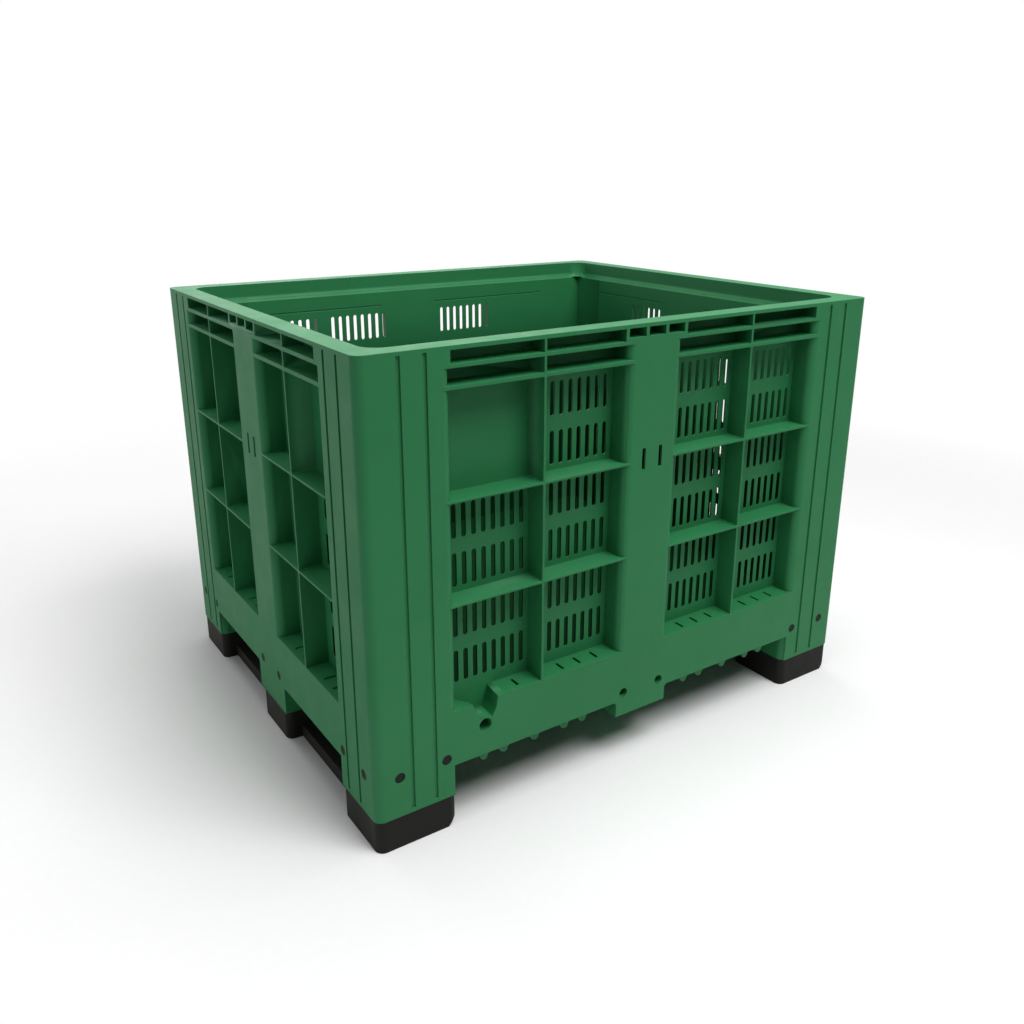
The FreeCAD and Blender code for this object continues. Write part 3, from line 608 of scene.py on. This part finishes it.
def make_pads(inner, outer):
    """Three pads of a runner with round upright edges, between two distances from the middle."""
    ends = HALF["short"] - PAD_INSET
    starts = HALF["short"] - CORNER["short"] + PAD_INSET
    middle = side_box("left", "foot")[1].x - PAD_INSET
    pads = []
    for near, far in ((-ends, -starts), (-middle, middle), (starts, ends)):
        outline = box_outline(inner, outer, near, far, FOOT_RADIUS - PAD_INSET)
        pads.append(slab(outline, [], 0, RUNNER_TOP, Matrix()))
    return combine(pads[0], pads[1:], "UNION")


def pad_chamfer(edge, inward):
    """Wedge that chamfers the lower edge of the pads at a distance from the middle."""
    wedge = [
        (edge - inward * OVERLAP, -OVERLAP),
        (edge + inward * PAD_CHAMFER, -OVERLAP),
        (edge - inward * OVERLAP, PAD_CHAMFER),
    ]
    return plate("front", wedge, [], -HALF["short"], HALF["short"])


def make_bar():
    """Flat bar that joins the pads of a runner."""
    right = HALF["long"] - BAR_INSET
    reach = HALF["short"] - CORNER["short"] / 2
    return slab(box_outline(right - BAR_WIDTH, right, -reach, reach), [], 0, BAR_HEIGHT, Matrix())


def make_runner(side):
    """Runner with three pads, a bar between them and the lugs that show in the feet."""
    outer = HALF["long"] - PAD_INSET
    inner = HALF["long"] - CORNER["long"] + PAD_INSET
    chamfer = pad_chamfer(inner, 1) if side == "left" else pad_chamfer(outer, -1)
    runner = combine(make_pads(inner, outer), [chamfer], "DIFFERENCE")
    runner = combine(runner, [make_bar()], "UNION")
    if side == "left":
        mirror(runner)
    runner = combine(runner, make_lugs(side), "UNION")
    runner.name = f"{side}_runner_moulding"
    return runner


def make_lugs(side):
    """Round lugs of a runner, just behind the faces of the feet."""
    lugs = []
    for key in (side, "front", "back"):
        start = side_box(key, "apron")[0].y + LUG_DEPTH
        corner, middle = hole_places(key)
        if key == side:
            places = corner + middle
        else:
            left_side = (key == "front") == (side == "left")
            places = [place for place in corner if (place < 0) == left_side]
        for place in places:
            lugs.append(rod(key, place, HOLE_LEVEL, LUG_RADIUS, start, start + LUG_LENGTH))
    return lugs


def add_camera():
    """Camera at the photograph's viewing angle."""
    across = math.cos(CAMERA_DOWN)
    look = Vector((
        across * math.sin(CAMERA_AZIMUTH),
        across * math.cos(CAMERA_AZIMUTH),
        -math.sin(CAMERA_DOWN),
    ))
    right = look.cross(Vector((0, 0, 1))).normalized()
    up = right.cross(look)
    turned_right = right * math.cos(CAMERA_ROLL) + up * math.sin(CAMERA_ROLL)
    turned_up = up * math.cos(CAMERA_ROLL) - right * math.sin(CAMERA_ROLL)
    data = bpy.data.cameras.new("photo_camera")
    data.sensor_width = SENSOR
    data.lens = FOCAL_PIXELS / PICTURE_PIXELS * SENSOR
    data.shift_x = (PICTURE_PIXELS / 2 - CENTRE_PIXELS[0]) / PICTURE_PIXELS
    data.shift_y = (CENTRE_PIXELS[1] - PICTURE_PIXELS / 2) / PICTURE_PIXELS
    camera = bpy.data.objects.new("photo_camera", data)
    basis = Matrix((turned_right, turned_up, -look)).transposed()
    camera.matrix_world = Matrix.Translation(CAMERA_PLACE) @ basis.to_4x4()
    bpy.context.scene.collection.objects.link(camera)
    bpy.context.scene.camera = camera


class Nodes:
    """Short hand for building a material's node tree."""

    def __init__(self, name):
        self.material = bpy.data.materials.new(name)
        self.material.use_nodes = True
        self.tree = self.material.node_tree
        self.tree.nodes.clear()

    def add(self, kind, settings=None, **inputs):
        node = self.tree.nodes.new(kind)
        for key, value in (settings or {}).items():
            setattr(node, key, value)
        for key, value in inputs.items():
            self.join(value, node.inputs[key.replace("_", " ")])
        return node

    def join(self, value, socket):
        if isinstance(value, bpy.types.NodeSocket):
            self.tree.links.new(value, socket)
        else:
            socket.default_value = value

    def noise(self, vector, scale, detail=3.0, roughness=0.5):
        node = self.add("ShaderNodeTexNoise", Scale=scale, Detail=detail, Roughness=roughness)
        self.join(vector, node.inputs["Vector"])
        return node.outputs["Fac"]

    def mix(self, factor, first, second):
        # a colour mix takes its colours at sockets 6 and 7, and gives one at output 2
        node = self.add("ShaderNodeMix", {"data_type": "RGBA"})
        self.join(factor, node.inputs[0])
        for value, socket in ((first, node.inputs[6]), (second, node.inputs[7])):
            if isinstance(value, tuple):
                value = (*value, 1)
            self.join(value, socket)
        return node.outputs[2]

    def scale_to(self, value, low, high, to_low, to_high):
        node = self.add("ShaderNodeMapRange", Value=value)
        for name, number in (
            ("From Min", low), ("From Max", high), ("To Min", to_low), ("To Max", to_high)
        ):
            node.inputs[name].default_value = number
        return node.outputs[0]

    def math(self, operation, first, second=0.0):
        node = self.add("ShaderNodeMath", {"operation": operation})
        self.join(first, node.inputs[0])
        self.join(second, node.inputs[1])
        return node.outputs[0]


def painted_shade_share(n, place):
    """Share of painted shade: it grows downwards on the bin's inner faces."""
    parts = n.add("ShaderNodeSeparateXYZ", Vector=place).outputs
    inside = n.math("MULTIPLY", *[
        n.math("LESS_THAN", n.math("ABSOLUTE", parts[axis]), reach)
        for axis, reach in enumerate(INNER_REACH)
    ])
    above_floor = n.math("GREATER_THAN", parts[2], FLOOR_LEVEL)
    depth = n.scale_to(parts[2], *PAINTED_SHADE_LEVELS, 1.0, 0.0)
    return n.math("MULTIPLY", n.math("MULTIPLY", inside, above_floor), depth)


def moulded_plastic(name, base, worn, deep, roughness, specular, grain, wear_share, painted_shade=None):
    """Moulded polyethylene: cloudy colour, fine grain, soft edges rubbed paler, and if given a
    painted shade on the inner faces.
    """
    n = Nodes(name)
    place = n.add("ShaderNodeTexCoord").outputs["Object"]
    clouds = n.noise(place, *CLOUD_NOISE)
    flow = n.noise(place, *FLOW_NOISE)
    speckle = n.noise(place, *SPECKLE_NOISE)
    soften = n.add("ShaderNodeBevel", {"samples": SOFT_SAMPLES}, Radius=SOFT_RADIUS)
    soft = soften.outputs["Normal"]
    flat = n.add("ShaderNodeNewGeometry").outputs["Normal"]
    likeness = n.add("ShaderNodeVectorMath", {"operation": "DOT_PRODUCT"})
    n.join(soft, likeness.inputs[0])
    n.join(flat, likeness.inputs[1])
    edge = n.scale_to(likeness.outputs["Value"], *EDGE_RAMP)
    patchy = n.scale_to(flow, *PATCH_RAMP)
    wear = n.math("MULTIPLY", n.math("MULTIPLY", edge, patchy), wear_share)

    cloudy = n.mix(n.scale_to(clouds, *CLOUD_RAMP), deep, base)
    rubbed = n.mix(wear, cloudy, worn)
    dust_and_painted_shade = n.mix(n.scale_to(speckle, *DUST_RAMP), rubbed, worn)
    # painted shade: lower down on the inner faces the colour darkens and the reflection fades
    if painted_shade:
        shade_share = painted_shade_share(n, place)
        dust_and_painted_shade = n.mix(shade_share, dust_and_painted_shade, painted_shade)
        specular = n.scale_to(shade_share, 0.0, 1.0, specular, PAINTED_SHADE_SPECULAR)
    rough = n.scale_to(flow, *ROUGH_SPAN, roughness - SMOOTHER, roughness + ROUGHER)
    bump = n.add(
        "ShaderNodeBump", Strength=grain, Distance=SPECKLE_DEPTH, Height=speckle, Normal=soft
    )
    waves = n.add("ShaderNodeBump", Strength=WAVE_STRENGTH, Distance=WAVE_DEPTH, Height=flow)
    n.join(bump.outputs["Normal"], waves.inputs["Normal"])
    shader = n.add("ShaderNodeBsdfPrincipled", Base_Color=dust_and_painted_shade, Roughness=rough)
    n.join(specular, shader.inputs["Specular IOR Level"])
    n.join(waves.outputs["Normal"], shader.inputs["Normal"])
    n.add("ShaderNodeOutputMaterial", Surface=shader.outputs["BSDF"])
    return n.material


def add_floor():
    """Pale floor that fades out into the white surroundings."""
    mesh = bpy.data.meshes.new("studio_floor")
    form = bmesh.new()
    bmesh.ops.create_circle(
        form, cap_ends=True, segments=FLOOR_SEGMENTS, radius=FLOOR_RADIUS
    )
    form.to_mesh(mesh)
    form.free()
    floor = link("studio_floor", mesh)
    floor.location.z = -FLOOR_DROP
    n = Nodes("studio_floor")
    place = n.add("ShaderNodeTexCoord").outputs["Object"]
    away = n.add("ShaderNodeVectorMath", {"operation": "LENGTH"})
    n.join(place, away.inputs[0])
    fade = n.scale_to(away.outputs["Value"], *FLOOR_FADE)
    paper = n.noise(place, PAPER_SCALE)
    tone = n.mix(paper, *PAPER_TONES)
    matt = n.add("ShaderNodeBsdfDiffuse", Color=tone).outputs["BSDF"]
    clear = n.add("ShaderNodeBsdfTransparent").outputs["BSDF"]
    both = n.add("ShaderNodeMixShader", Fac=fade)
    n.join(matt, both.inputs[1])
    n.join(clear, both.inputs[2])
    n.add("ShaderNodeOutputMaterial", Surface=both.outputs["Shader"])
    mesh.materials.append(n.material)


def add_world():
    """White surroundings for the camera and in reflections, dim even light for the rest."""
    world = bpy.data.worlds.new("studio_world")
    bpy.context.scene.world = world
    world.use_nodes = True
    tree = world.node_tree
    tree.nodes.clear()
    path = tree.nodes.new("ShaderNodeLightPath")
    seen = tree.nodes.new("ShaderNodeBackground")
    seen.inputs["Color"].default_value = WHITE
    light = tree.nodes.new("ShaderNodeBackground")
    light.inputs["Color"].default_value = WHITE
    light.inputs["Strength"].default_value = WORLD_STRENGTH
    both = tree.nodes.new("ShaderNodeMixShader")
    out = tree.nodes.new("ShaderNodeOutputWorld")
    white = tree.nodes.new("ShaderNodeMath")
    white.operation = "MAXIMUM"
    tree.links.new(path.outputs["Is Camera Ray"], white.inputs[0])
    tree.links.new(path.outputs["Is Glossy Ray"], white.inputs[1])
    tree.links.new(white.outputs[0], both.inputs[0])
    tree.links.new(light.outputs[0], both.inputs[1])
    tree.links.new(seen.outputs[0], both.inputs[2])
    tree.links.new(both.outputs[0], out.inputs["Surface"])


def add_softbox(name, place, aim, size, watts):
    """Soft lamp at a place, turned to a point. Its size is its width and height."""
    data = bpy.data.lights.new(name, "AREA")
    data.shape = "RECTANGLE"
    data.size, data.size_y = size
    data.energy = watts
    lamp = bpy.data.objects.new(name, data)
    lamp.location = place
    lamp.rotation_euler = (Vector(aim) - Vector(place)).to_track_quat("-Z", "Y").to_euler()
    bpy.context.scene.collection.objects.link(lamp)


def finish_piece(piece, material, nodes):
    """Dress a piece and put it in the place of its CAD nodes."""
    smooth(piece)
    piece.data.materials.clear()
    piece.data.materials.append(material)
    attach(piece, "root")
    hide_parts(*nodes)


body_plastic = moulded_plastic(
    "body_plastic",
    base=(0.0155, 0.168, 0.056),
    worn=(0.07, 0.26, 0.13),
    deep=(0.0135, 0.152, 0.050),
    roughness=0.6,
    specular=0.3,
    grain=0.2,
    wear_share=0.3,
    # colour of the painted shade on the lower inner faces
    painted_shade=(0.002, 0.022, 0.006),
)
runner_plastic = moulded_plastic(
    "runner_plastic",
    base=(0.009, 0.0095, 0.007),
    worn=(0.04, 0.04, 0.034),
    deep=(0.006, 0.0065, 0.005),
    roughness=0.6,
    specular=0.16,
    grain=0.3,
    wear_share=0.3,
)

body_nodes = [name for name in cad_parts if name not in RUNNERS]
bin_body = make_body(body_nodes)
finish_piece(bin_body, body_plastic, body_nodes)
for side in ("left", "right"):
    runner = make_runner(side)
    finish_piece(runner, runner_plastic, [f"{side}_runner"])

add_camera()
add_floor()
add_world()
for name, lamp in LAMPS.items():
    add_softbox(name, *lamp)

bpy.context.scene.view_settings.view_transform = "Standard"
